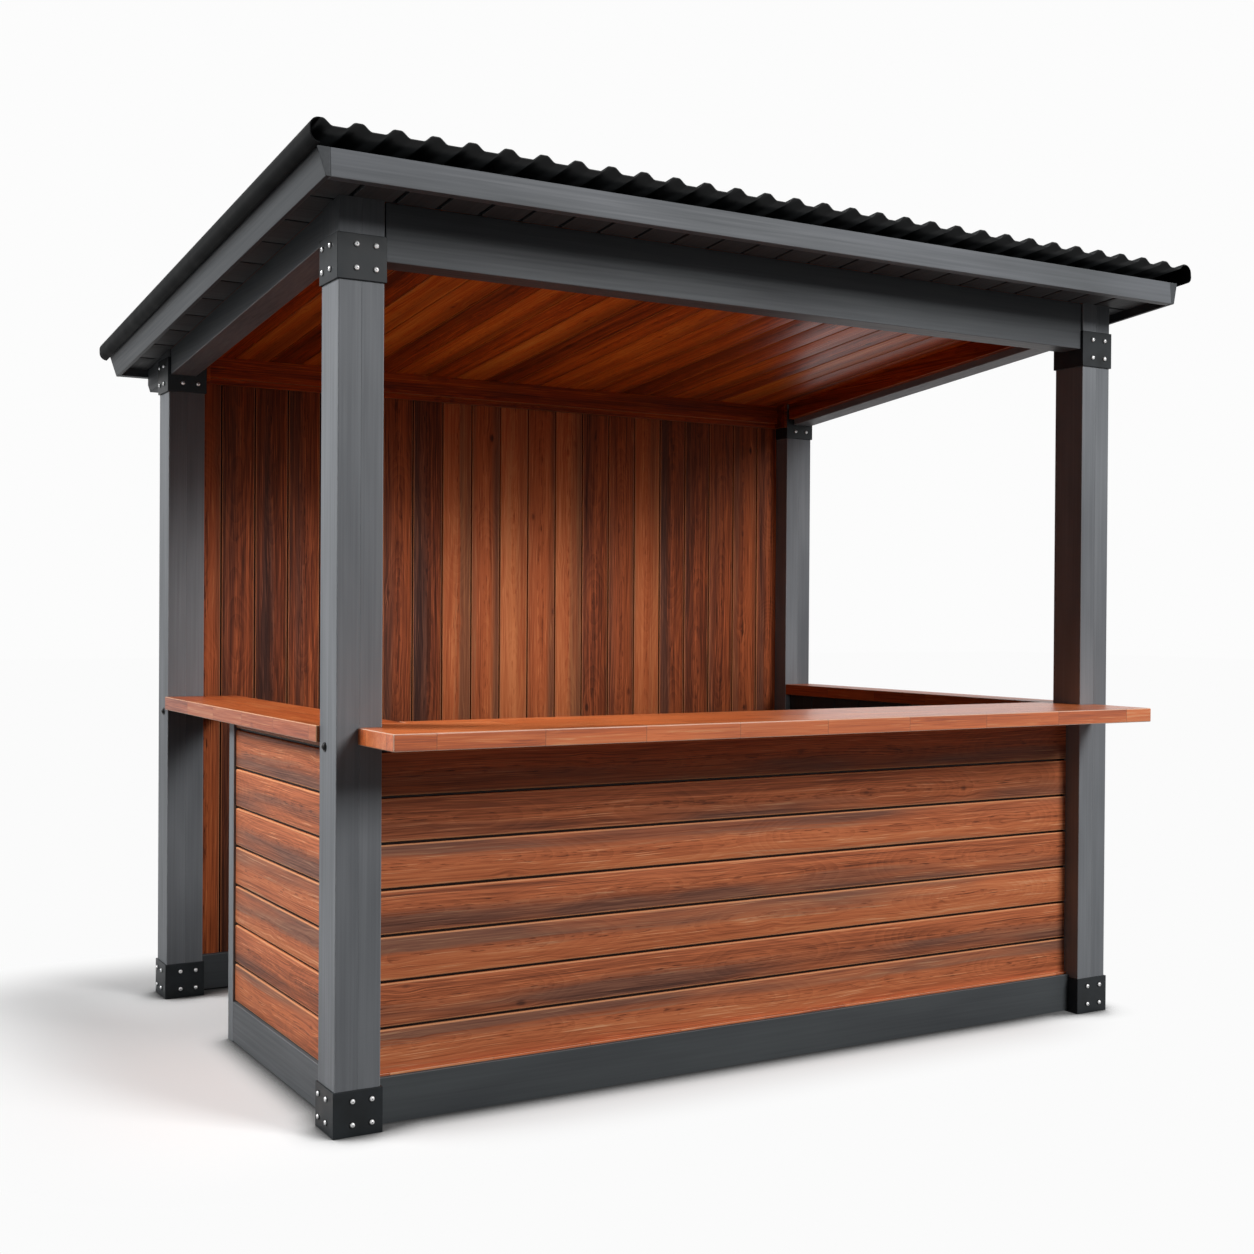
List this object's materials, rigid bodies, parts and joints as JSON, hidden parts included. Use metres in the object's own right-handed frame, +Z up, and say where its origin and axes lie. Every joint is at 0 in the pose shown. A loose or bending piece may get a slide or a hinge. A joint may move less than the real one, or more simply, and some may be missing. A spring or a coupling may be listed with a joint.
{
  "type": "wooden market stall",
  "caption": "Open timber market stall with square posts in steel sleeves, a three-sided boarded serving counter, a boarded back wall and a sloping corrugated roof.",
  "frame": {"origin": "on the ground, under the middle of the overall plan outline", "axes": "+Z up, the serving front faces -Y, +X to the right seen from the front"},
  "size_m": [2.94, 2.2356, 2.4264],
  "materials": {
    "painted_timber": "anthracite paint on planed timber, satin",
    "black_steel": "black powder coat with bright bolts",
    "cladding_wood": "red-brown stained tongue and groove boards, satin",
    "counter_wood": "oiled butcher-block staves, satin",
    "ceiling_wood": "dark red-brown varnished boards, satin",
    "roof_sheet": "black coated corrugated steel, satin"
  },
  "bodies": {
    "root": {"front_left_post": "painted_timber", "front_right_post": "painted_timber", "back_left_post": "painted_timber", "back_right_post": "painted_timber", "front_beam": "painted_timber", "left_beam": "painted_timber", "right_beam": "painted_timber", "back_beam": "painted_timber", "front_plinth": "painted_timber", "left_plinth": "painted_timber", "right_plinth": "painted_timber", "back_plinth": "painted_timber", "front_lining": "painted_timber", "left_lining": "painted_timber", "right_lining": "painted_timber", "doorway_stile": "painted_timber", "front_soffit": "painted_timber", "left_soffit": "painted_timber", "right_soffit": "painted_timber", "back_soffit": "painted_timber", "front_fascia": "painted_timber", "left_fascia": "painted_timber", "right_fascia": "painted_timber", "back_fascia": "painted_timber", "front_left_shoe": "black_steel", "front_right_shoe": "black_steel", "back_left_shoe": "black_steel", "back_right_shoe": "black_steel", "front_left_bracket": "black_steel", "front_right_bracket": "black_steel", "back_left_bracket": "black_steel", "back_right_bracket": "black_steel", "front_boards": "cladding_wood", "left_boards": "cladding_wood", "right_boards": "cladding_wood", "back_wall": "cladding_wood", "front_top": "counter_wood", "left_top": "counter_wood", "right_top": "counter_wood", "ceiling": "ceiling_wood", "ceiling_trim": "ceiling_wood", "roof_battens": "roof_sheet", "roof_sheet": "roof_sheet", "left_verge": "roof_sheet", "right_verge": "roof_sheet"}
  },
  "joints": []
}
